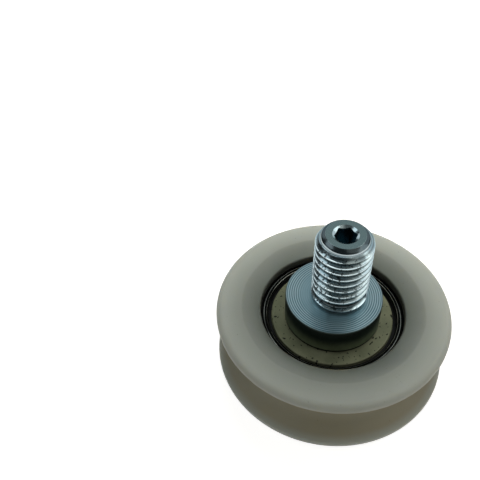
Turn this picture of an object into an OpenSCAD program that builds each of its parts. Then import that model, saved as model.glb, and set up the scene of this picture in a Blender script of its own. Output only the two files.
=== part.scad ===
// Grooved nylon roller on an eccentric adjusting stud.
// The roller lies on its back face: z = 0 is that face, +Z runs along the stud, and the origin is
// on the wheel's axis. +X points from the wheel's axis towards the stud's axis. Millimetres.

/* [Wheel] */
// Outside diameter over the two flanges
wheel_d = 50; // [46:0.5:60]
// Width between the two faces
wheel_w = 16; // [15:0.5:18]
// Thickness of a flange at its rim
flange_t = 2; // [1.7:0.1:2.5]
// Depth of the groove
groove_depth = 5.8; // [4:0.1:6.2]
// Radius of the groove's round bottom
groove_r = 5.2; // [3:0.1:5.4]
// Rounding of the flanges' outer corners
rim_round = 1.5; // [0.5:0.1:1.6]
// Inner diameter of each face's flat outer ring
face_ring_d = 39; // [37:0.5:42]
// Drop from a face's outer ring to the lip at its middle
dish_drop = 1.2; // [0.4:0.1:1.6]
// How far each lip laps over the flat of the bearing's face
lip_lap = 0.1; // [0.05:0.05:0.8]
// Rounding of the lip's inner edge
lip_round = 0.4; // [0.2:0.05:0.8]

/* [Bearing] */
// Bore of the bearing
bearing_bore = 12; // [11:0.5:13]
// Outside diameter of the bearing
bearing_od = 32; // [31.6:0.1:33]
// Width of the bearing
bearing_w = 10; // [9.5:0.1:11]
// Diameter of a ball
ball_d = 5.95; // [5.4:0.05:6.1]
// Groove radius over ball radius
race_ratio = 1.04; // [1.02:0.01:1.08]
// Distance from the balls' path to each ring's lands
land_reach = 1.8; // [1.6:0.05:2.2]
// Rounding of the rings' outside corners
ring_round = 0.5; // [0.3:0.1:0.8]
// Chamfer of the inner ring's bore
bore_chamfer = 0.5; // [0.2:0.1:0.7]

/* [Shields] */
// Thickness of a shield's sheet
shield_t = 0.3; // [0.2:0.05:0.35]
// Depth of a shield's face under the ring's face
shield_drop = 0.3; // [0.25:0.05:0.4]
// Depth of a shield's seat, outwards from the outer ring's lands
seat_step = 1.3; // [1.1:0.05:1.5]
// How far the lip of that seat reaches in over the shield
seat_snap = 0.2; // [0.1:0.05:0.25]
// Width of a shield's curled edge
curl_w = 1; // [0.8:0.05:1.2]
// Height of a shield's curled edge
curl_h = 1.1; // [0.9:0.05:1.3]

/* [Cage] */
// Thickness of the cage's sheet
cage_t = 0.45; // [0.3:0.05:0.5]
// Diameter of a cage rivet's shank
rivet_d = 1; // [0.8:0.05:1.2]
// Diameter of a cage rivet's head
rivet_head_d = 1.6; // [1.4:0.05:1.8]
// Height of a cage rivet's head
rivet_head_h = 0.4; // [0.3:0.05:0.5]

/* [Stud] */
// Diameter of the stud's threaded end
thread_d = 12; // [10:0.5:13]
// Length from the collar to the stud's end
thread_l = 16.8; // [14:0.2:30]
// Pitch of the thread
thread_pitch = 1.75; // [1.5:0.25:2]
// Depth of the thread
thread_depth = 1; // [0.8:0.05:1.1]
// Plain neck between the collar and the thread
thread_neck = 1; // [0.6:0.1:2]
// Height of the flare at the neck's foot, which is as wide as the thread
foot_flare = 0.5; // [0.2:0.1:0.5]
// Offset of the thread's axis from the wheel's axis
eccentric = 1.7; // [0:0.1:2.2]
// Diameter of the collar
collar_d = 20.4; // [19.6:0.1:22]
// Height of the collar
collar_h = 6.3; // [5:0.1:9]
// Chamfer of the collar's top edge
collar_edge = 0.25; // [0.1:0.05:0.5]
// Diameter of the flat at the stud's end
end_flat_d = 8; // [7:0.1:9]
// Length of the chamfer at the stud's end
end_chamfer = 1.7; // [0.8:0.1:2.4]
// Size across the flats of the hexagon socket
socket_af = 4.1; // [3.9:0.05:4.4]
// Depth of the hexagon socket
socket_depth = 5.5; // [3:0.5:8]
// Turn of the socket's corners about the stud, in degrees
socket_turn = 15; // [0:5:60]
// Diameter of the countersink at the socket's mouth
socket_mouth_d = 5.4; // [5.2:0.1:6.4]

/* [Riveted end] */
// Diameter of the riveted head behind the bearing
head_d = 16.4; // [15:0.2:17.6]
// Height of the riveted head
head_h = 2; // [1.4:0.1:2.4]
// Diameter of the dimple in the riveted head
dimple_d = 7; // [5:0.5:9]
// Depth of that dimple
dimple_h = 0.9; // [0.4:0.1:1.4]

/* [Fits] */
// Gap between a ball and each race
ball_gap = 0.05; // [0.02:0.01:0.08]
// Gap between a ball and its pocket in the cage
pocket_gap = 0.12; // [0.08:0.01:0.2]
// Gap between the cage and each ring's lands
cage_gap = 0.55; // [0.3:0.05:0.8]
// Gap between a shield and the inner ring
shield_gap = 0.25; // [0.15:0.05:0.4]

/* [Hidden] */
$fn = 96;
ball_n = 7; // as many balls, and as many cage rivets, as NODES names
arc_steps = 10; // points on a small rounding
overcut = 0.01; // how far a cut runs past the surface that it opens

mid_z = wheel_w / 2; // the wheel's and the bearing's middle plane
bearing_lo = mid_z - bearing_w / 2;
bearing_hi = mid_z + bearing_w / 2;
collar_top = bearing_hi + collar_h;
stud_end = collar_top + thread_l;

ball_r = ball_d / 2;
pitch_r = (bearing_bore + bearing_od) / 4; // radius of the balls' path
ball_step = 360 / ball_n;
race_r = ball_r * race_ratio; // radius of a race's own section
inner_race_r = pitch_r - ball_r - ball_gap; // radius at the bottom of the inner race
outer_race_r = pitch_r + ball_r + ball_gap;
inner_land_r = pitch_r - land_reach;
outer_land_r = pitch_r + land_reach;
shield_seat_r = outer_land_r + seat_step;
cage_half_w = land_reach - cage_gap; // half of the width of the cage's ribbon

// ---- shared shapes ----

// Points of an arc about [cx, cy], from angle a0 to a1
function arc(cx, cy, r, a0, a1, steps = arc_steps) =
    [for (i = [0 : steps]) let (a = a0 + (a1 - a0) * i / steps) [cx + r * cos(a), cy + r * sin(a)]];

// Turns a section that is the same above and below the middle plane. The points are its upper half.
module turned(upper) {
    lower = [for (i = [len(upper) - 1 : -1 : 0]) [upper[i][0], -upper[i][1]]];
    rotate_extrude() polygon(concat(upper, lower));
}

// Moves its children from the bearing's middle plane to its place in the roller
module in_bearing() {
    translate([0, 0, mid_z]) children();
}

// ---- wheel ----

// The groove: a round bottom, and walls that run from it straight to the mouth
module groove() {
    centre_r = wheel_d / 2 - groove_depth + groove_r;
    mouth_r = wheel_d / 2 + overcut;
    mouth_h = wheel_w / 2 - flange_t;
    reach = norm([mouth_r - centre_r, mouth_h]);
    wall_a = atan2(mouth_h, mouth_r - centre_r) + acos(groove_r / reach); // where a wall begins
    turned(concat([[mouth_r, mouth_h]], arc(centre_r, 0, groove_r, wall_a, 178, 16)));
}

module wheel() {
    rim_r = wheel_d / 2 - rim_round;
    face = wheel_w / 2;
    lip_top = face - dish_drop;
    seat = bearing_w / 2;
    seat_r = bearing_od / 2 - ring_round;
    lip_r = seat_r - lip_lap;
    color([0.84, 0.84, 0.78])
    in_bearing() difference() {
        turned(concat(
            arc(rim_r, face - rim_round, rim_round, 0, 90),
            [[face_ring_d / 2, face]],
            arc(lip_r + lip_round, lip_top - lip_round, lip_round, 90, 180),
            [[lip_r, seat]],
            arc(seat_r, seat - ring_round, ring_round, 90, 0)
        ));
        groove();
    }
}

// ---- bearing ----

// The balls' path in a ring: a torus about the bearing's axis
module race(r) {
    rotate_extrude() translate([r, 0]) circle(race_r);
}

module outer_ring() {
    h = bearing_w / 2;
    mouth_r = shield_seat_r - seat_snap;
    seat_lo = h - shield_drop - curl_h; // floor of the shield's seat
    color([0.30, 0.30, 0.30])
    in_bearing() difference() {
        turned(concat(
            arc(bearing_od / 2 - ring_round, h - ring_round, ring_round, 0, 90),
            [
                [mouth_r + shield_drop, h],
                [mouth_r, h - shield_drop],
                [shield_seat_r, h - shield_drop - shield_t],
                [shield_seat_r, seat_lo],
                [outer_land_r, seat_lo]
            ]
        ));
        race(outer_race_r - race_r);
    }
}

module inner_ring() {
    h = bearing_w / 2;
    bore_r = bearing_bore / 2;
    color([0.45, 0.45, 0.45])
    in_bearing() difference() {
        turned(concat(
            [[bore_r, h - bore_chamfer], [bore_r + bore_chamfer, h]],
            arc(inner_land_r - ring_round, h - ring_round, ring_round, 90, 0)
        ));
        race(inner_race_r + race_r);
    }
}

// A pressed ring: a flat face round the inner ring, a channel, and an edge curled into its seat
module shield() {
    inner_r = inner_land_r + shield_gap;
    curl_r = shield_seat_r;
    flat_r = curl_r - curl_w;
    top = bearing_w / 2 - shield_drop;
    under = top - shield_t;
    bottom = top - curl_h;
    rotate_extrude() polygon([
        [inner_r, under],
        [inner_r, top],
        [flat_r - shield_t / 2, top],
        [flat_r, top - shield_t / 2],
        [flat_r, bottom + shield_t],
        [curl_r - shield_t, bottom + shield_t],
        [curl_r - shield_t, under],
        [curl_r - shield_t / 2, under],
        [curl_r, under - shield_t / 2],
        [curl_r, bottom],
        [flat_r - shield_t, bottom],
        [flat_r - shield_t, under]
    ]);
}

module shield_front() {
    color([0.66, 0.66, 0.50]) in_bearing() shield();
}

module shield_back() {
    color([0.66, 0.66, 0.50]) in_bearing() mirror([0, 0, 1]) shield();
}

// Puts its children at place number i round the balls' path, where half steps lie between balls
module on_pitch(i) {
    rotate([0, 0, i * ball_step]) translate([pitch_r, 0, 0]) children();
}

module ball(i) {
    color([0.80, 0.82, 0.84]) in_bearing() on_pitch(i) sphere(ball_r);
}

// The upper half of the ribbon cage: flat between the balls, and domed over each of them
module cage_half() {
    pocket_r = ball_r + pocket_gap;
    height = pocket_r + cage_t;
    intersection() {
        difference() {
            union() {
                cylinder(h = cage_t, r = pitch_r + 2 * cage_half_w);
                for (i = [0 : ball_n - 1]) on_pitch(i) sphere(height);
            }
            for (i = [0 : ball_n - 1]) {
                on_pitch(i) sphere(pocket_r);
                on_pitch(i + 0.5) cylinder(h = 4 * cage_t, r = rivet_d / 2, center = true);
            }
        }
        difference() {
            cylinder(h = height + 1, r = pitch_r + cage_half_w);
            translate([0, 0, -1]) cylinder(h = height + 3, r = pitch_r - cage_half_w);
        }
    }
}

module cage_front() {
    color([0.55, 0.55, 0.52]) in_bearing() cage_half();
}

module cage_back() {
    color([0.55, 0.55, 0.52]) in_bearing() mirror([0, 0, 1]) cage_half();
}

module cage_rivet(i) {
    color([0.62, 0.62, 0.60])
    in_bearing() on_pitch(i + 0.5) {
        cylinder(h = 2 * cage_t, r = rivet_d / 2, center = true);
        for (side = [0, 1])
            mirror([0, 0, side]) translate([0, 0, cage_t])
                cylinder(h = rivet_head_h, r1 = rivet_head_d / 2, r2 = rivet_d / 2);
    }
}

// ---- stud ----

// Spigot through the bearing, riveted over at the back, with the collar at the front
module stud_core() {
    head_z = bearing_lo - head_h;
    dimple_z = head_z + dimple_h;
    rotate_extrude() polygon(concat(
        [[0, dimple_z], [dimple_d / 2 - dimple_h, dimple_z], [dimple_d / 2, head_z]],
        arc(head_d / 2 - head_h, bearing_lo, head_h, 270, 360),
        [
            [bearing_bore / 2, bearing_lo],
            [bearing_bore / 2, bearing_hi],
            [collar_d / 2, bearing_hi],
            [collar_d / 2, collar_top - collar_edge],
            [collar_d / 2 - collar_edge, collar_top],
            [0, collar_top]
        ]
    ));
}

// Section of one ridge of the thread, from its lower foot to its upper one, with 60-degree flanks
function ridge(root_r, foot_z) =
    let (flank = thread_depth * tan(30), crest = thread_pitch / 8)
    [
        [root_r, foot_z],
        [root_r + thread_depth, foot_z + flank],
        [root_r + thread_depth, foot_z + flank + crest],
        [root_r, foot_z + 2 * flank + crest]
    ];

// Threaded end, about its own axis, with its foot sunk into the collar. The neck flares out to the
// thread's width at the collar. The thread is a ridge at each turn, without the helix, and the end's
// chamfer cuts into the last of them.
module shank() {
    foot = collar_top - collar_h / 2;
    crest_r = thread_d / 2;
    root_r = crest_r - thread_depth;
    ridges = floor((thread_l - thread_neck) / thread_pitch);
    slope = end_chamfer / (crest_r - end_flat_d / 2); // fall of the end's chamfer per millimetre outwards
    intersection() {
        rotate_extrude() polygon(concat(
            [[0, stud_end + 1], [0, foot], [crest_r, foot]],
            [[crest_r, collar_top], [root_r, collar_top + foot_flare]],
            [for (i = [0 : ridges - 1]) each ridge(root_r, collar_top + thread_neck + i * thread_pitch)],
            [[root_r, stud_end + 1]]
        ));
        rotate_extrude() polygon([
            [0, foot],
            [crest_r + 1, foot],
            [crest_r + 1, stud_end - end_chamfer - slope],
            [end_flat_d / 2, stud_end],
            [0, stud_end]
        ]);
    }
}

// Hexagon socket with a countersunk mouth and a drill point
module socket() {
    mouth_r = socket_mouth_d / 2;
    point_r = socket_af / 2;
    floor_z = stud_end - socket_depth;
    rotate([0, 0, socket_turn]) translate([0, 0, floor_z])
        cylinder(h = socket_depth + overcut, r = point_r / cos(30), $fn = 6);
    rotate_extrude() polygon([
        [0, floor_z - point_r / 2],
        [point_r, floor_z],
        [point_r, floor_z + overcut],
        [0, floor_z + overcut]
    ]);
    rotate_extrude() polygon([
        [0, stud_end - mouth_r],
        [mouth_r, stud_end],
        [mouth_r, stud_end + overcut],
        [0, stud_end + overcut]
    ]);
}

module stud() {
    color([0.72, 0.78, 0.80])
    difference() {
        union() {
            stud_core();
            translate([eccentric, 0, 0]) shank();
        }
        translate([eccentric, 0, 0]) socket();
    }
}

wheel();
outer_ring();
inner_ring();
shield_front();
shield_back();
cage_front();
cage_back();
for (i = [1 : ball_n]) ball(i - 1);
for (i = [1 : ball_n]) cage_rivet(i - 1);
stud();
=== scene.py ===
import bpy
from math import acos, atan2, cos, degrees, radians, sin, tau
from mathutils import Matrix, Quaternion, Vector


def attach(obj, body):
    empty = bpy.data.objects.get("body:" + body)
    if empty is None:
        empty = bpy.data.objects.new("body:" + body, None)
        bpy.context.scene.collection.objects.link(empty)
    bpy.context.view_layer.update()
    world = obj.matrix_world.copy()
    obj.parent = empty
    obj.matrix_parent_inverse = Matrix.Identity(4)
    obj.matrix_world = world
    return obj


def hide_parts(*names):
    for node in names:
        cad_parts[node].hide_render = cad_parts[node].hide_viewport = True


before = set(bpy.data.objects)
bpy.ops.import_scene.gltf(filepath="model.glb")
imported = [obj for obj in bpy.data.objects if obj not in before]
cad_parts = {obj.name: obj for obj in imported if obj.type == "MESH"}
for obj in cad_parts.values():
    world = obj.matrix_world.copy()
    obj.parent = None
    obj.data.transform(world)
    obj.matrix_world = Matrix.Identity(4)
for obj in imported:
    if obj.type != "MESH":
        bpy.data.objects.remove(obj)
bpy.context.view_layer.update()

mm = 0.001
perMetre = 1000  # materials read metres, and their sizes below are millimetres


def startFresh():
    if bpy.context.object and bpy.context.object.mode != "OBJECT":
        bpy.ops.object.mode_set(mode="OBJECT")
    bpy.ops.object.select_all(action="DESELECT")


def makeActive(piece):
    startFresh()
    piece.select_set(True)
    bpy.context.view_layer.objects.active = piece


def applyModifiers(piece):
    makeActive(piece)
    for modifier in list(piece.modifiers):
        bpy.ops.object.modifier_apply(modifier=modifier.name)


def direction(azimuth, elevation):
    # one unit outwards, angles in degrees
    flat = cos(radians(elevation))
    return Vector((flat * cos(radians(azimuth)), flat * sin(radians(azimuth)), sin(radians(elevation))))


def roundCorner(across, up, radius, fromAngle, toAngle, count):
    # points of an arc in a section, angles in degrees
    points = []
    for i in range(count + 1):
        angle = radians(fromAngle + (toAngle - fromAngle) * i / count)
        points.append((across + radius * cos(angle), up + radius * sin(angle)))
    return points


def drawSection(name, section, closed):
    # a chain of edges in the XZ plane, drawn point by point; sizes in millimetres
    startFresh()
    bpy.ops.mesh.primitive_plane_add(size=mm)
    piece = bpy.context.object
    piece.name = name
    piece.data.name = name
    bpy.ops.object.mode_set(mode="EDIT")
    bpy.ops.mesh.select_all(action="SELECT")
    bpy.ops.mesh.merge(type="CENTER")
    lastAcross, lastUp = section[0]
    bpy.ops.transform.translate(value=(lastAcross * mm, 0, lastUp * mm))
    for across, up in section[1:]:
        step = ((across - lastAcross) * mm, 0, (up - lastUp) * mm)
        bpy.ops.mesh.extrude_region_move(TRANSFORM_OT_translate={"value": step})
        lastAcross, lastUp = across, up
    if closed:  # one edge joins the two loose ends
        bpy.ops.mesh.select_all(action="DESELECT")
        bpy.ops.object.mode_set(mode="OBJECT")
        ends = [v for v in piece.data.vertices if sum(v.index in e.vertices for e in piece.data.edges) == 1]
        for vertex in ends:
            vertex.select = True
        bpy.ops.object.mode_set(mode="EDIT")
        bpy.ops.mesh.edge_face_add()
    bpy.ops.mesh.select_all(action="SELECT")
    return piece


def turnOnLathe(name, section, steps, closed=True, axisX=0.0):
    # spins a section round the upright axis at axisX
    piece = drawSection(name, section, closed)
    bpy.ops.mesh.spin(steps=steps, angle=tau, center=(axisX * mm, 0, 0), axis=(0, 0, 1))
    bpy.ops.mesh.select_all(action="SELECT")
    bpy.ops.mesh.remove_doubles(threshold=0.002 * mm)
    bpy.ops.mesh.normals_make_consistent(inside=False)
    bpy.ops.object.mode_set(mode="OBJECT")
    return piece


def smoothOver(piece, angle):
    makeActive(piece)
    bpy.ops.object.shade_smooth_by_angle(angle=radians(angle))


def combine(piece, other, how):
    # joins, cuts or clips piece with other, and removes other
    modifier = piece.modifiers.new(how.lower(), "BOOLEAN")
    modifier.operation = how
    modifier.solver = "EXACT"
    modifier.object = other
    applyModifiers(piece)
    bpy.data.objects.remove(other)


def fill(tree, place, value):
    # a socket's input: a link where the value varies, or else the value itself
    if isinstance(value, Reading):
        tree.links.new(value.socket, place)
    else:
        place.default_value = value


class Reading:
    # a socket of a material, so that shader maths reads as a sum
    def __init__(self, tree, socket):
        self.tree = tree
        self.socket = socket

    def combineWith(self, operation, *values):
        node = self.tree.nodes.new("ShaderNodeMath")
        node.operation = operation
        for place, value in zip(node.inputs, values):
            fill(self.tree, place, value)
        return Reading(self.tree, node.outputs[0])

    def __add__(self, other):
        return self.combineWith("ADD", self, other)

    def __sub__(self, other):
        return self.combineWith("SUBTRACT", self, other)

    def __mul__(self, other):
        return self.combineWith("MULTIPLY", self, other)

    def __pow__(self, other):
        return self.combineWith("POWER", self, other)

    def __abs__(self):
        return self.combineWith("ABSOLUTE", self)

    def sine(self):
        return self.combineWith("SINE", self)


class Finish:
    # one material: its Principled shader, and a method for every other node
    def __init__(self, name, fixed):
        self.material = bpy.data.materials.new(name)
        self.material.use_nodes = True
        self.tree = self.material.node_tree
        self.shader = self.tree.nodes["Principled BSDF"]
        for socket, value in fixed.items():
            self.shader.inputs[socket].default_value = value
        self.place = self.node("ShaderNodeTexCoord", out="Object")

    def node(self, kind, settings=None, sockets=None, out=0):
        made = self.tree.nodes.new(kind)
        for setting, value in (settings or {}).items():
            setattr(made, setting, value)
        for socket, value in (sockets or {}).items():
            fill(self.tree, made.inputs[socket], value)
        return Reading(self.tree, made.outputs[out])

    def feed(self, **values):
        for socket, value in values.items():
            fill(self.tree, self.shader.inputs[socket.replace("_", " ")], value)

    def noise(self, scale, detail, roughness=0.55):
        return self.node("ShaderNodeTexNoise", {}, {
            "Vector": self.place, "Scale": scale, "Detail": detail, "Roughness": roughness}, out="Fac")

    def ramp(self, value, low, high, lowOut=0.0, highOut=1.0, how="SMOOTHSTEP"):
        return self.node("ShaderNodeMapRange", {"interpolation_type": how}, {
            "Value": value, "From Min": low, "From Max": high, "To Min": lowOut, "To Max": highOut})

    def blend(self, factor, first, second):
        # inputs 0, 6 and 7 and output 2 are the factor and the colours of this node
        return self.node("ShaderNodeMix", {"data_type": "RGBA"}, {0: factor, 6: first, 7: second}, out=2)

    def mottle(self, pattern, first, second):
        # two shades that follow a noise
        return self.blend(self.ramp(pattern, 0.3, 0.7), colour(first), colour(second))

    def fromAxis(self, axisX=0.0):
        # distance from an upright axis, in millimetres
        moved = self.node("ShaderNodeVectorMath", {"operation": "SUBTRACT"}, {
            0: self.place, 1: (axisX * mm, 0, 0)})
        flat = self.node("ShaderNodeVectorMath", {"operation": "MULTIPLY"}, {
            0: moved, 1: (perMetre, perMetre, 0)})
        return self.node("ShaderNodeVectorMath", {"operation": "LENGTH"}, {0: flat}, out="Value")

    def near(self, value, centre, reach):
        # 1 where value is at centre, falling to 0 at reach from it
        return self.ramp(abs(value - centre), reach, reach * 0.3)

    def height(self):
        return self.node("ShaderNodeSeparateXYZ", {}, {0: self.place}, out="Z") * perMetre

    def bump(self, height, strength, distance):
        return self.node("ShaderNodeBump", {}, {
            "Height": height, "Strength": strength, "Distance": distance})


def colour(shade):
    # from the usual 0 to 255 scale to the shader's own
    def straight(value):
        value = value / 255
        return value / 12.92 if value <= 0.04045 else ((value + 0.055) / 1.055) ** 2.4
    return (*(straight(value) for value in shade), 1.0)


def wear(piece, finish):
    piece.data.materials.clear()
    piece.data.materials.append(finish.material)


cameraSet = {
    "aim": (-6.352, 21.041, 26.071), "distance": 142.45, "nearest": 5,  # millimetres
    "azimuth": -135.0, "elevation": 45.88, "roll": -2.03,  # degrees
    "lens": 49.91, "sensor": 36,
}
lookBack = direction(cameraSet["azimuth"], cameraSet["elevation"])
cameraData = bpy.data.cameras.new("camera")
cameraData.lens = cameraSet["lens"]
cameraData.sensor_width = cameraSet["sensor"]
cameraData.clip_start = cameraSet["nearest"] * mm
camera = bpy.data.objects.new("camera", cameraData)
bpy.context.scene.collection.objects.link(camera)
camera.location = (Vector(cameraSet["aim"]) + lookBack * cameraSet["distance"]) * mm
camera.rotation_euler = (
    (-lookBack).to_track_quat("-Z", "Y") @ Quaternion((0, 0, 1), radians(cameraSet["roll"]))).to_euler()
bpy.context.scene.camera = camera
print("camera set")


wheel = {
    "radius": 25.0, "width": 16.0, "flange": 2.0, "grooveDepth": 5.8, "grooveRound": 5.2,
    "rimRound": 1.5, "faceRing": 19.5, "dishDrop": 1.2, "dishSoft": 0.35, "lip": 15.4, "lipRound": 0.4,
    "seat": 16.0, "seatHeight": 5.0, "seatRound": 0.5, "mouthRound": 0.25,
}


def wheelSection():
    w = wheel
    face = w["width"] / 2
    rim = w["radius"] - w["rimRound"]
    mouthUp = face - w["flange"]
    lipTop = face - w["dishDrop"]
    arcCentre = w["radius"] - w["grooveDepth"] + w["grooveRound"]
    reach = ((w["radius"] - arcCentre) ** 2 + mouthUp ** 2) ** 0.5
    wallAngle = degrees(atan2(mouthUp, w["radius"] - arcCentre) + acos(w["grooveRound"] / reach))
    upper = roundCorner(arcCentre, 0, w["grooveRound"], 179.9, wallAngle, 14)  # just clear of its mirror
    edge = w["mouthRound"]
    upper += roundCorner(w["radius"] - edge, mouthUp + edge, edge, -80, 0, 3)
    upper += roundCorner(rim, face - w["rimRound"], w["rimRound"], 0, 90, 12)
    upper += [(rim - (rim - w["faceRing"]) * i / 3, face) for i in (1, 2)]
    dish = w["faceRing"] - w["lip"] - w["lipRound"]
    dishSteps = 8
    for i in range(dishSteps + 1):  # the dish starts softly and runs down to the lip
        part = i / dishSteps
        soft = part * part * (3 - 2 * part)
        drop = w["dishDrop"] * (soft * w["dishSoft"] + part * (1 - w["dishSoft"]))
        upper.append((w["faceRing"] - dish * part, face - drop))
    upper += roundCorner(w["lip"] + w["lipRound"], lipTop - w["lipRound"], w["lipRound"], 90, 180, 5)[1:]
    upper += [(w["lip"], w["seatHeight"])]
    corner = w["seatRound"]
    upper += roundCorner(w["seat"] - corner, w["seatHeight"] - corner, corner, 90, 0, 3)
    lower = [(across, -up) for across, up in reversed(upper)]
    return [(across, up + face) for across, up in lower + upper]


wheelPiece = turnOnLathe("nylonWheel", wheelSection(), steps=240)
smoothOver(wheelPiece, 40)
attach(wheelPiece, "roller")
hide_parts("wheel")
print("wheel turned")


bearing = {
    "middle": 8.0, "half": 5.0, "outer": 16.0, "bore": 6.0, "ringRound": 0.5, "boreChamfer": 0.5,
    "innerLand": 9.2, "outerLand": 12.8, "seat": 14.1, "seatEdge": 0.12, "snap": 0.2, "snapLead": 0.3,
    "lineIn": 14.75, "lineOut": 14.95, "lineDepth": 0.06, "lineSide": 0.05,
    "race": 3.094, "raceShift": 0.069, "path": 11.0,
    "sheet": 0.3, "sheetEdge": 0.08, "shieldDrop": 0.3, "shieldGap": 0.25,
    "curlHeight": 1.1, "curlWidth": 1.0,
}


def bothHalves(upper):
    lower = [(across, -up) for across, up in reversed(upper)]
    return [(across, up + bearing["middle"]) for across, up in upper + lower]


def racePoints(side):
    # the balls' groove in a ring: side is -1 in the inner ring and 1 in the outer
    b = bearing
    land = b["innerLand"] if side < 0 else b["outerLand"]
    centre = b["path"] - side * b["raceShift"]
    opening = degrees(acos(min(1, abs(land - centre) / b["race"])))
    if side < 0:
        return roundCorner(centre, 0, b["race"], 180 - opening, 180, 10)
    return roundCorner(centre, 0, b["race"], opening, 0, 10)


def outerRingSection():
    b = bearing
    top = b["half"]
    shieldTop = top - b["shieldDrop"]
    seatFloor = shieldTop - b["curlHeight"]
    edge = b["seatEdge"]
    snapIn = b["seat"] - b["snap"]
    lineFloor = top - b["lineDepth"]
    upper = racePoints(1)[::-1]
    upper += [(b["outerLand"], seatFloor - edge), (b["outerLand"] + edge, seatFloor), (b["seat"], seatFloor)]
    upper += [(b["seat"], shieldTop - b["sheet"]), (snapIn, shieldTop)]
    upper += roundCorner(snapIn + b["snapLead"], top - edge, edge, 180, 90, 3)
    upper += [(b["lineIn"], top), (b["lineIn"] + b["lineSide"], lineFloor)]  # a fine turned line in the face
    upper += [(b["lineOut"] - b["lineSide"], lineFloor), (b["lineOut"], top)]
    upper += roundCorner(b["outer"] - b["ringRound"], top - b["ringRound"], b["ringRound"], 90, 0, 5)
    return bothHalves(upper[::-1])


def innerRingSection():
    b = bearing
    top = b["half"]
    upper = [(b["bore"], top - b["boreChamfer"]), (b["bore"] + b["boreChamfer"], top)]
    upper += roundCorner(b["innerLand"] - b["ringRound"], top - b["ringRound"], b["ringRound"], 90, 0, 5)
    upper += racePoints(-1)
    return bothHalves(upper)


def shieldSection():
    b = bearing
    t = b["sheet"]
    inner = b["innerLand"] + b["shieldGap"]
    flat = b["seat"] - b["curlWidth"]
    top = b["half"] - b["shieldDrop"]
    under = top - t
    bottom = top - b["curlHeight"]
    section = [(inner, under), (inner, top - b["sheetEdge"]), (inner + b["sheetEdge"], top)]
    section += roundCorner(flat - t, top - t, t, 90, 0, 4)
    section += [(flat, bottom + t), (b["seat"] - t, bottom + t), (b["seat"] - t, under)]
    section += roundCorner(b["seat"] - t / 2, under - t / 2, t / 2, 135, 0, 4)
    section += [(b["seat"], bottom), (flat - t, bottom), (flat - t, under)]
    return section


outerRing = turnOnLathe("bearingOuterRing", outerRingSection(), steps=200)
innerRing = turnOnLathe("bearingInnerRing", innerRingSection(), steps=160)
middle = bearing["middle"]
shieldFront = turnOnLathe("shieldFront", [(across, middle + up) for across, up in shieldSection()], steps=200)
shieldBack = turnOnLathe("shieldBack", [(across, middle - up) for across, up in shieldSection()], steps=200)
for piece, body, node, slot in (
        (outerRing, "roller", "outer_ring", "bearing_steel"),
        (innerRing, "axle", "inner_ring", "bearing_steel"),
        (shieldFront, "roller", "shield_front", "shield_steel"),
        (shieldBack, "roller", "shield_back", "shield_steel")):
    smoothOver(piece, 35)
    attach(piece, body)
    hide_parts(node)
print("bearing turned")


stud = {
    "axis": 1.7, "bore": 6.0, "bearingLow": 3.0, "bearingHigh": 13.0,
    "collar": 10.2, "collarTop": 19.3, "collarEdge": 0.16, "collarChamfer": 0.15, "ringPitch": 0.46,
    "headRadius": 8.2, "headHeight": 2.0, "dimpleRadius": 3.5, "dimpleDepth": 0.9,
    "dimpleSide": ((-1.2, 0.85), (-0.35, 0.2), (0, 0.03), (0.35, 0)),  # out from its radius, up from the head
    "end": 36.1, "endFlat": 4.0, "ledge": 4.55, "ledgeTop": 35.5, "ledgeFoot": 0.62, "noseFoot": 34.12,
    "ledgeSide": ((0.33, 0.28), (0.27, 0.13), (0.15, 0.04)),  # out from the ledge, down from its top
    "flare": ((5.9, 0.10), (5.62, 0.26), (5.2, 0.42)), "flareTop": 0.75,  # radius, up from the collar
    "crest": 5.92, "root": 5.0, "pitch": 1.75, "turns": 9, "threadStart": 20.48, "startAzimuth": -45,
    "runOutLow": 20.1, "runOutHigh": 21.0, "overCrest": 0.03, "turnSteps": 96,
    # half of the ridge: down from its crest, and then out from the root, each with the half width there
    "ridgeTop": ((0, 0), (0.015, 0.10), (0.055, 0.20), (0.12, 0.29), (0.21, 0.36)),
    "ridgeFoot": ((0.18, 0.62), (0.06, 0.71), (-0.03, 0.85), (-0.4, 0.85)),
    "socketFlats": 4.1, "socketDepth": 5.5, "socketTurn": 15, "mouth": 2.66, "mouthSlope": 0.72,
}


def collarSection():
    # the riveted head with its dimple, the spigot through the bearing, and the collar
    s = stud
    head = s["bearingLow"] - s["headHeight"]
    section = [(0, head + s["dimpleDepth"])]
    section += [(s["dimpleRadius"] + across, head + up) for across, up in s["dimpleSide"]]
    section += roundCorner(s["headRadius"] - s["headHeight"], s["bearingLow"], s["headHeight"], -90, 0, 10)
    section += [(s["bore"], s["bearingLow"]), (s["bore"], s["bearingHigh"])]
    section += [(s["collar"] - s["collarChamfer"], s["bearingHigh"])]
    section += [(s["collar"], s["bearingHigh"] + s["collarChamfer"])]
    across = s["collar"] - s["collarEdge"]
    section += roundCorner(across, s["collarTop"] - s["collarEdge"], s["collarEdge"], 0, 90, 4)
    # two close rings keep the shading of the rounded edge off the flat top
    return section + [(across - 0.04, s["collarTop"]), (across - 0.1, s["collarTop"]), (0, s["collarTop"])]


collarPiece = turnOnLathe("studCollar", collarSection(), steps=220, closed=False)


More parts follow.
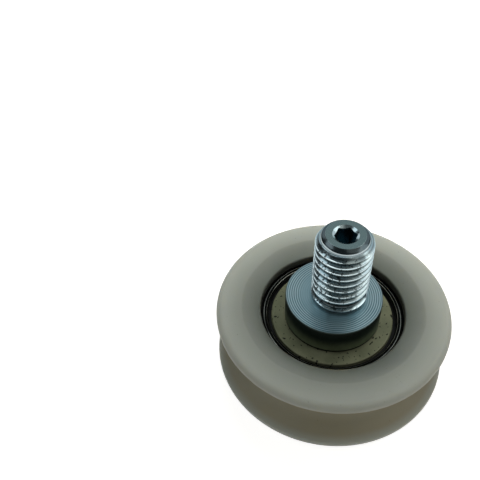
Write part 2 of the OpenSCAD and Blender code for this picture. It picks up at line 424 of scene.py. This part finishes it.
def endPoints():
    # the nose of the threaded end, from the root up: a steep band, a rounded ledge, a cone and the flat
    # the points at the flat's edge lie close together, so that its shading stays flat
    s = stud
    points = [(s["root"], s["ledgeTop"] - s["ledgeFoot"])]
    points += [(s["ledge"] + across, s["ledgeTop"] - down) for across, down in s["ledgeSide"]]
    points += [(s["ledge"], s["ledgeTop"] + 0.02)]
    points += [(s["endFlat"] + 0.03, s["end"] - 0.03), (s["endFlat"] - 0.01, s["end"] - 0.004)]
    return points + [(s["endFlat"] - 0.1, s["end"]), (s["endFlat"] - 0.15, s["end"]), (0, s["end"])]


def aboutStud(section):
    return [(stud["axis"] + across, up) for across, up in section]


def shankSection():
    # the threaded end at the bottom of its thread, with a flare where it meets the collar
    s = stud
    foot = s["collarTop"]
    section = [(0, foot - 1), (s["flare"][0][0], foot - 1)]
    section += [(across, foot + up) for across, up in s["flare"]]
    section += [(s["root"], foot + s["flareTop"])]
    return aboutStud(section + endPoints())


def threadLimit():
    # what the ridge may fill: it runs out at the neck and is cut by the nose
    s = stud
    below = s["runOutLow"] - 0.5
    section = [(0, below), (s["root"] - 0.2, below), (s["root"], s["runOutLow"])]
    section += [(s["crest"], s["runOutHigh"]), (s["crest"], s["noseFoot"])]
    return aboutStud(section + endPoints())


def threadRidge():
    # one ridge section with a rounded crest, swept up the helix with a Screw modifier
    s = stud
    crest = s["crest"] + s["overCrest"]
    half = [(crest - down, up) for down, up in s["ridgeTop"]]
    half += [(s["root"] + across, up) for across, up in s["ridgeFoot"]]
    section = half + [(across, -up) for across, up in reversed(half[1:])]
    ridge = drawSection("ridge", section, True)
    bpy.ops.object.mode_set(mode="OBJECT")
    screw = ridge.modifiers.new("helix", "SCREW")
    screw.axis = "Z"
    screw.angle = tau
    screw.screw_offset = s["pitch"] * mm
    screw.iterations = s["turns"]
    screw.steps = s["turnSteps"]
    screw.render_steps = s["turnSteps"]
    screw.use_merge_vertices = False
    applyModifiers(ridge)
    bpy.ops.object.mode_set(mode="EDIT")
    bpy.ops.mesh.select_all(action="SELECT")
    bpy.ops.mesh.remove_doubles(threshold=0.001 * mm)
    bpy.ops.mesh.fill_holes(sides=0)
    bpy.ops.mesh.normals_make_consistent(inside=False)
    bpy.ops.object.mode_set(mode="OBJECT")
    ridge.rotation_euler = (0, 0, radians(s["startAzimuth"]))
    ridge.location = (s["axis"] * mm, 0, s["threadStart"] * mm)
    makeActive(ridge)
    bpy.ops.object.transform_apply(location=True, rotation=True, scale=True)
    return ridge


def cutSocket(target):
    # a hexagon, and a cone that opens its mouth
    s = stud
    startFresh()
    depth = (s["socketDepth"] + 1) * mm
    bpy.ops.mesh.primitive_cylinder_add(
        vertices=6, radius=s["socketFlats"] / 2 / cos(radians(30)) * mm, depth=depth,
        location=(s["axis"] * mm, 0, s["end"] * mm - s["socketDepth"] * mm + depth / 2),
        rotation=(0, 0, radians(s["socketTurn"] + 30)))
    cutter = bpy.context.object
    bpy.ops.object.transform_apply(location=True, rotation=True, scale=True)
    combine(target, cutter, "DIFFERENCE")
    mouth = s["mouth"]
    over = 0.2  # how far the cone runs on past the end, as a share of its radius
    coneTop = s["end"] + mouth * over * s["mouthSlope"]
    coneSection = [(0, s["end"] - mouth * s["mouthSlope"]), (mouth * (1 + over), coneTop), (0, coneTop)]
    cone = turnOnLathe("mouth", aboutStud(coneSection), steps=64, closed=False, axisX=s["axis"])
    combine(target, cone, "DIFFERENCE")


shank = turnOnLathe("studThread", shankSection(), steps=128, closed=False, axisX=stud["axis"])
ridgeLimit = turnOnLathe("ridgeLimit", threadLimit(), steps=128, closed=False, axisX=stud["axis"])
ridge = threadRidge()
combine(ridge, ridgeLimit, "INTERSECT")
combine(shank, ridge, "UNION")
cutSocket(shank)
smoothOver(collarPiece, 30)
smoothOver(shank, 30)
weighted = shank.modifiers.new("weighted", "WEIGHTED_NORMAL")  # evens the ridge that the nose cuts into
weighted.keep_sharp = True
applyModifiers(shank)
for piece in (collarPiece, shank):
    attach(piece, "axle")
    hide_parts("stud")
print("stud made:", len(shank.data.polygons), "faces in its thread")


nylonLook = {
    # the colours by the hub, at the dish's edge, in the groove and at the lip are painted shade
    "shadedHub": (97, 103, 96), "nearRim": (169, 173, 166), "dishEdgeShade": (92, 97, 90), "grooveShade": (157, 152, 132),
    "lipShade": (34, 33, 26), "haze": (134, 142, 140), "specks": (92, 88, 72), "roughness": (0.50, 0.60),
    "fixed": {"IOR": 1.5, "Specular IOR Level": 0.35, "Subsurface Weight": 0.8,
              "Subsurface Radius": (1.0, 0.85, 0.6), "Subsurface Scale": 0.003},
}


def nylonFinish():
    look = nylonLook
    f = Finish("nylon", look["fixed"])
    out = f.fromAxis()
    cloud = f.noise(90, 3)
    grain = f.noise(900, 2)
    lip = wheel["lip"]
    floorOfGroove = wheel["radius"] - wheel["grooveDepth"]
    # painted shade: the nylon is painted darker towards the hub, standing in for the dark bearing seen
    # through it and the shade of the dish
    clearOfHubShade = f.ramp(out + (cloud - 0.5) * 1.2, lip, 23.0, how="LINEAR") ** 0.75
    base = f.blend(clearOfHubShade, colour(look["shadedHub"]), colour(look["nearRim"]))
    # painted shade: a slight darker step where the flat face meets the dish
    base = f.blend(f.ramp(out + cloud * 0.9, 20.2, 19.7, 0.0, 0.22), base, colour(look["dishEdgeShade"]))
    fromMiddle = abs(f.height() - wheel["width"] / 2)
    # painted shade: the groove between the flanges is painted darker and warmer, standing in for its shade
    # and warm bounced light
    grooveShade = f.ramp(fromMiddle, 6.1, 5.2) * f.ramp(out, floorOfGroove - 0.8, floorOfGroove - 0.1)
    base = f.blend(grooveShade, base, colour(look["grooveShade"]))
    # painted shade: the nylon at the lip, over the recess round the bearing, is painted near black
    base = f.blend(f.ramp(out, lip - 0.05, lip + 0.5, 0.85, 0.0), base, colour(look["lipShade"]))
    base = f.blend(f.ramp(cloud, 0.35, 0.75, 0.0, 0.12), base, colour(look["haze"]))
    specks = f.ramp(f.noise(1400, 2, 0.7), 0.70, 0.76)
    base = f.blend(specks * 0.35, base, colour(look["specks"]))
    f.feed(Base_Color=base, Roughness=f.ramp(grain, 0.3, 0.7, *look["roughness"]),
           Normal=f.bump(grain + cloud * 0.6, 0.12, 0.0002))
    return f


# the steel's dark and light shades are painted shade: near black, for the shade and dark reflections in the
# recess under the nylon's lip
ringLook = {
    "dark": (9, 9, 8), "light": (20, 20, 18), "lineHighlight": (232, 234, 224), "roughness": (0.32, 0.42),
    "lines": ((14.12, 0.05), (14.72, 0.06)),  # radius and reach of the painted highlights at two edges in the ring's face
}


def ringFinish():
    look = ringLook
    f = Finish("bearingSteel", {"Metallic": 1.0})
    out = f.fromAxis()
    stain = f.noise(500, 3)
    # painted shade: the ring's steel is near black
    base = f.blend(f.ramp(stain, 0.35, 0.65), colour(look["dark"]), colour(look["light"]))
    # painted highlights: thin bright lines at two edges in the ring's face
    inner, outer = (f.near(out, radius, reach) for radius, reach in look["lines"])
    lineHighlight = (inner + outer) * f.ramp(f.noise(150, 2), 0.35, 0.6, 0.25, 1.0)
    base = f.blend(lineHighlight, base, colour(look["lineHighlight"]))
    f.feed(Base_Color=base, Roughness=f.ramp(stain, 0.3, 0.7, *look["roughness"]),
           Normal=f.bump(stain, 0.1, 0.00005))
    return f


# the channel's colour is painted shade
shieldLook = {
    "dark": (110, 114, 90), "light": (132, 135, 109), "speck": (28, 30, 20), "channelShade": (8, 8, 6),
    "metallic": 0.35, "roughness": (0.45, 0.6),
}


def shieldFinish():
    look = shieldLook
    f = Finish("shieldSteel", {"Metallic": look["metallic"]})
    out = f.fromAxis()
    patch = f.noise(160, 3)
    speck = f.ramp(f.noise(1800, 0), 0.73, 0.76) + f.ramp(f.noise(900, 0), 0.77, 0.79)
    base = f.mottle(patch, look["dark"], look["light"])
    base = f.blend(speck, base, colour(look["speck"]))
    flat = bearing["seat"] - bearing["curlWidth"]
    channel = f.ramp(out, flat - 0.02, flat + 0.1)  # painted shade in the channel round the flat, near black
    base = f.blend(channel, base, colour(look["channelShade"]))
    f.feed(Base_Color=base, Roughness=f.ramp(patch, 0.3, 0.7, *look["roughness"]) + speck * 0.2,
           Normal=f.bump(f.noise(2200, 2), 0.15, 0.00006))
    return f


collarLook = {
    # the line colours are painted reflection on the turned lines
    "dark": (150, 180, 190), "light": (172, 198, 206), "lineShade": (60, 82, 96), "lineGlint": (236, 250, 252),
    # the rim colour is painted shade; the side's colours are painted reflection, and the base colour is a
    # painted shadow line
    "sideReflectionTop": (62, 72, 66), "sideReflectionFoot": (134, 144, 128), "base": (3, 3, 3), "rim": (70, 86, 92),
    "tint": (0.6, 0.65, 0.68, 1), "roughness": (0.28, 0.31),
}


def collarFinish():
    look = collarLook
    f = Finish("zincCollar", {"Metallic": 1.0, "Specular Tint": look["tint"]})
    out = f.fromAxis()
    up = f.height()
    foot = stud["bearingHigh"]
    patch = f.noise(120, 2)
    lines = (out * (tau / stud["ringPitch"])).sine() * f.ramp(out, 6.4, 8.0, 0.4, 1.0)
    base = f.mottle(patch, look["dark"], look["light"])
    # the turned lines are real; their dark and light stripes are painted reflection, weaker towards the
    # middle
    base = f.blend(f.ramp(lines, 0.0, 1.0, 0.0, 0.6), base, colour(look["lineShade"]))
    base = f.blend(f.ramp(lines, -0.4, -1.0, 0.0, 0.6), base, colour(look["lineGlint"]))
    # painted shade: the rounded rim is painted darker, toning down the lamps' highlight on it
    rim = f.ramp(out, stud["collar"] - 0.24, stud["collar"] - 0.14, 0.0, 0.8)
    base = f.blend(rim, base, colour(look["rim"]))
    # painted reflection on the collar's side, dark at its top and lighter towards its foot, and a painted
    # shadow line at its base, in the gap over the shield; its plate there is also duller
    side = f.ramp(out, stud["collar"] - 0.1, stud["collar"] - 0.03)
    low = f.ramp(up, stud["collarTop"] - 2.0, foot + 0.8)
    sideReflection = f.blend(low, colour(look["sideReflectionTop"]), colour(look["sideReflectionFoot"]))
    sideReflection = f.blend(f.ramp(up, foot + 0.6, foot + 0.42), sideReflection, colour(look["base"]))
    base = f.blend(side, base, sideReflection)
    f.feed(Base_Color=base, Roughness=f.ramp(patch, 0.25, 0.75, *look["roughness"]) + side * 0.04,
           Normal=f.bump(patch, 0.05, 0.00005))
    return f


threadLook = {
    # the colours of the nose, its rim, crest, flank, root and socket are painted light and shade
    "dark": (146, 170, 180), "light": (184, 202, 206), "nose": (44, 52, 56), "noseRimHighlight": (200, 214, 218),
    "crest": (214, 230, 236), "flank": (34, 40, 40), "root": (10, 12, 12), "pits": (16, 20, 20),
    "endFlat": (138, 157, 158), "socket": (110, 138, 146), "socketReach": (2.5, 2.42),
    "tint": (0.45, 0.5, 0.52, 1), "roughness": (0.14, 0.22), "pittedSide": -162,
}


def threadFinish():
    look = threadLook
    f = Finish("zincThread", {"Metallic": 1.0, "Specular Tint": look["tint"]})
    out = f.fromAxis(stud["axis"])
    up = f.height()
    end, crest, root = stud["end"], stud["crest"], stud["root"]
    patch = f.noise(300, 4)
    threaded = f.ramp(up, stud["ledgeTop"] - 0.7, stud["ledgeTop"] - 1.1)
    worn = f.node("ShaderNodeVectorMath", {"operation": "DOT_PRODUCT"}, {
        0: f.place, 1: direction(look["pittedSide"], 0) * perMetre}, out="Value")
    pits = f.ramp(f.noise(1500, 2, 0.6), 0.545, 0.61) * f.ramp(worn, -1.0, 3.5) * threaded
    outsideMouth = f.ramp(out, stud["mouth"] + 0.1, stud["mouth"] + 0.3)
    # painted reflection: the nose's chamfer outside the socket's mouth is painted dark
    nose = f.ramp(up, end - 1.5, end - 0.9, 0.0, 0.85) * outsideMouth
    base = f.blend(nose, f.mottle(patch, look["dark"], look["light"]), colour(look["nose"]))
    # painted highlight: a bright line round the ledge of the nose
    rim = f.near(out, stud["ledge"] + 0.3, 0.1) * f.ramp(up, end - 1.1, end - 0.9, 0.0, 0.6)
    base = f.blend(rim, base, colour(look["noseRimHighlight"]))
    # painted highlight: the crests are painted brighter
    base = f.blend(f.ramp(out, crest - 0.18, crest - 0.06) * threaded * 0.6, base, colour(look["crest"]))
    # painted shade and dark reflection: the flanks are painted dark and the roots near black
    base = f.blend(f.ramp(out, crest - 0.14, root + 0.3, 0.0, 0.85) * threaded, base, colour(look["flank"]))
    base = f.blend(f.ramp(out, root + 0.22, root + 0.05, 0.0, 0.8) * threaded, base, colour(look["root"]))
    base = f.blend(pits * 0.85, base, colour(look["pits"]))
    base = f.blend(f.ramp(up, end - 0.03, end - 0.01), base, colour(look["endFlat"]))
    # painted shade: the inside of the hex socket is painted darker
    socket = f.ramp(out, *look["socketReach"]) * f.ramp(up, end - 0.6, end - 0.95)
    base = f.blend(socket, base, colour(look["socket"]))
    f.feed(Base_Color=base, Roughness=f.ramp(patch, 0.25, 0.75, *look["roughness"]) + pits * 0.15,
           Normal=f.bump(patch * 0.6 - pits * 0.5, 0.18, 0.00006))
    return f


cageLook = {"dark": (128, 126, 116), "light": (158, 156, 144), "roughness": (0.3, 0.45)}
ballLook = {"dark": (196, 200, 204), "light": (214, 216, 218), "roughness": (0.05, 0.1)}


def cageFinish():
    f = Finish("cageSteel", {"Metallic": 1.0})
    patch = f.noise(400, 3)
    f.feed(Base_Color=f.mottle(patch, cageLook["dark"], cageLook["light"]),
           Roughness=f.ramp(patch, 0.3, 0.7, *cageLook["roughness"]), Normal=f.bump(patch, 0.1, 0.00005))
    return f


def ballFinish():
    f = Finish("ballSteel", {"Metallic": 1.0})
    haze = f.noise(500, 2)
    f.feed(Base_Color=f.mottle(haze, ballLook["dark"], ballLook["light"]),
           Roughness=f.ramp(haze, 0.3, 0.7, *ballLook["roughness"]), Normal=f.bump(haze, 0.02, 0.00002))
    return f


ringSteel = ringFinish()
shieldSteel = shieldFinish()
cageSteel = cageFinish()
ballSteel = ballFinish()
wear(wheelPiece, nylonFinish())
wear(outerRing, ringSteel)
wear(innerRing, ringSteel)
wear(shieldFront, shieldSteel)
wear(shieldBack, shieldSteel)
wear(collarPiece, collarFinish())
wear(shank, threadFinish())
for node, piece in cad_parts.items():
    if node.startswith("cage"):
        wear(piece, cageSteel)
    elif node.startswith("ball"):
        wear(piece, ballSteel)
print("finishes on")


stage = {
    "floorSize": 6, "floorDrop": 0.00002, "floorShade": (0.5, 0.48, 0.44, 1), "floorGlow": 0.86,  # metres
    "wallRadius": 2.8, "wallHeight": 1.3, "wallShade": (0.5, 0.5, 0.5, 1), "wallGlow": 1.0,
    "shadowFrom": 25, "shadowTo": 100,  # millimetres from the axis
    "worldShade": (0.92, 1.0, 0.98, 1), "worldStrength": 0.10,
}


def paleFinish(name, shade, glowNear):
    # shade is its colour under the lamps; the glow lifts it for the camera, mirrors and glass
    f = Finish(name, {
        "Base Color": shade, "Roughness": 1.0, "Specular IOR Level": 0.0, "Emission Strength": 1.0})
    toCamera = f.node("ShaderNodeLightPath", out="Is Camera Ray")
    inMirror = f.node("ShaderNodeLightPath", out="Is Glossy Ray")
    throughGlass = f.node("ShaderNodeLightPath", out="Is Transmission Ray")
    seen = f.ramp(toCamera + inMirror + throughGlass, 0.0, 1.0, how="LINEAR")
    # less glow beside the object, where its shadow falls
    glow = f.ramp(f.fromAxis(), stage["shadowFrom"], stage["shadowTo"], glowNear, 1.0)
    f.feed(Emission_Color=f.blend(seen * glow, (0, 0, 0, 1), (1, 1, 1, 1)))
    f.material.cycles.emission_sampling = "NONE"  # it is no lamp
    return f


startFresh()
bpy.ops.mesh.primitive_plane_add(size=stage["floorSize"], location=(0, 0, -stage["floorDrop"]))
floor = bpy.context.object
floor.name = "floor"
wear(floor, paleFinish("floorPale", stage["floorShade"], stage["floorGlow"]))

startFresh()
bpy.ops.mesh.primitive_cylinder_add(
    vertices=96, radius=stage["wallRadius"], depth=stage["wallHeight"], end_fill_type="NOTHING",
    location=(0, 0, stage["wallHeight"] / 2))
backdrop = bpy.context.object  # a low pale wall, so that a low view has no dark horizon
backdrop.name = "backdrop"
wear(backdrop, paleFinish("backdropPale", stage["wallShade"], stage["wallGlow"]))

world = bpy.data.worlds.new("studio")
bpy.context.scene.world = world
world.use_nodes = True
background = world.node_tree.nodes["Background"]
background.inputs["Color"].default_value = stage["worldShade"]
background.inputs["Strength"].default_value = stage["worldStrength"]

# azimuth and elevation in degrees, distance and size in metres; aim in metres from the axis
# a lamp without glints lights the wheel and shows in no mirror
lamps = {
    "keyRight": {"azimuth": -42, "elevation": 46, "distance": 0.20, "size": 0.11, "power": 0.072, "aim": 0,
                 "tint": (1.0, 0.98, 0.93), "glints": True},
    "keyLeft": {"azimuth": 128, "elevation": 46, "distance": 0.20, "size": 0.09, "power": 0.036, "aim": 0,
                "tint": (0.93, 0.98, 1.0), "glints": True},
    "overRight": {"azimuth": -2, "elevation": 64, "distance": 0.10, "size": 0.03, "power": 0.058, "aim": 0.11,
                  "tint": (1.0, 0.98, 0.92), "glints": False},
    "overFar": {"azimuth": 72, "elevation": 62, "distance": 0.10, "size": 0.03, "power": 0.050, "aim": 0.11,
                "tint": (1.0, 0.98, 0.92), "glints": False},
    "sky": {"azimuth": 33, "elevation": 50, "distance": 0.50, "size": 0.36, "power": 0.155, "aim": 0,
            "tint": (0.84, 0.97, 1.0), "glints": True},
    "front": {"azimuth": -94, "elevation": 42, "distance": 0.30, "size": 0.25, "power": 0.080, "aim": 0,
              "tint": (1.0, 0.97, 0.90), "glints": True},
    "left": {"azimuth": 170, "elevation": 28, "distance": 0.30, "size": 0.14, "power": 0.078, "aim": 0,
             "tint": (1.0, 0.98, 0.93), "glints": True},
    "lowFront": {"azimuth": -120, "elevation": 10, "distance": 0.28, "size": 0.16, "power": 0.10, "aim": 0,
                 "tint": (1.0, 0.97, 0.90), "glints": False},
}
lampCentre = Vector((0, 0, 0.015))  # what the lamps stand around
for name, lamp in lamps.items():
    data = bpy.data.lights.new(name, "AREA")
    data.size = lamp["size"]
    data.energy = lamp["power"]
    data.color = lamp["tint"]
    made = bpy.data.objects.new(name, data)
    bpy.context.scene.collection.objects.link(made)
    made.location = direction(lamp["azimuth"], lamp["elevation"]) * lamp["distance"] + lampCentre
    aim = direction(lamp["azimuth"], 0) * lamp["aim"] + lampCentre
    made.rotation_euler = (aim - made.location).to_track_quat("-Z", "Y").to_euler()
    made.visible_glossy = lamp["glints"]
bpy.context.scene.view_settings.view_transform = "Standard"
print("floor and light ready")
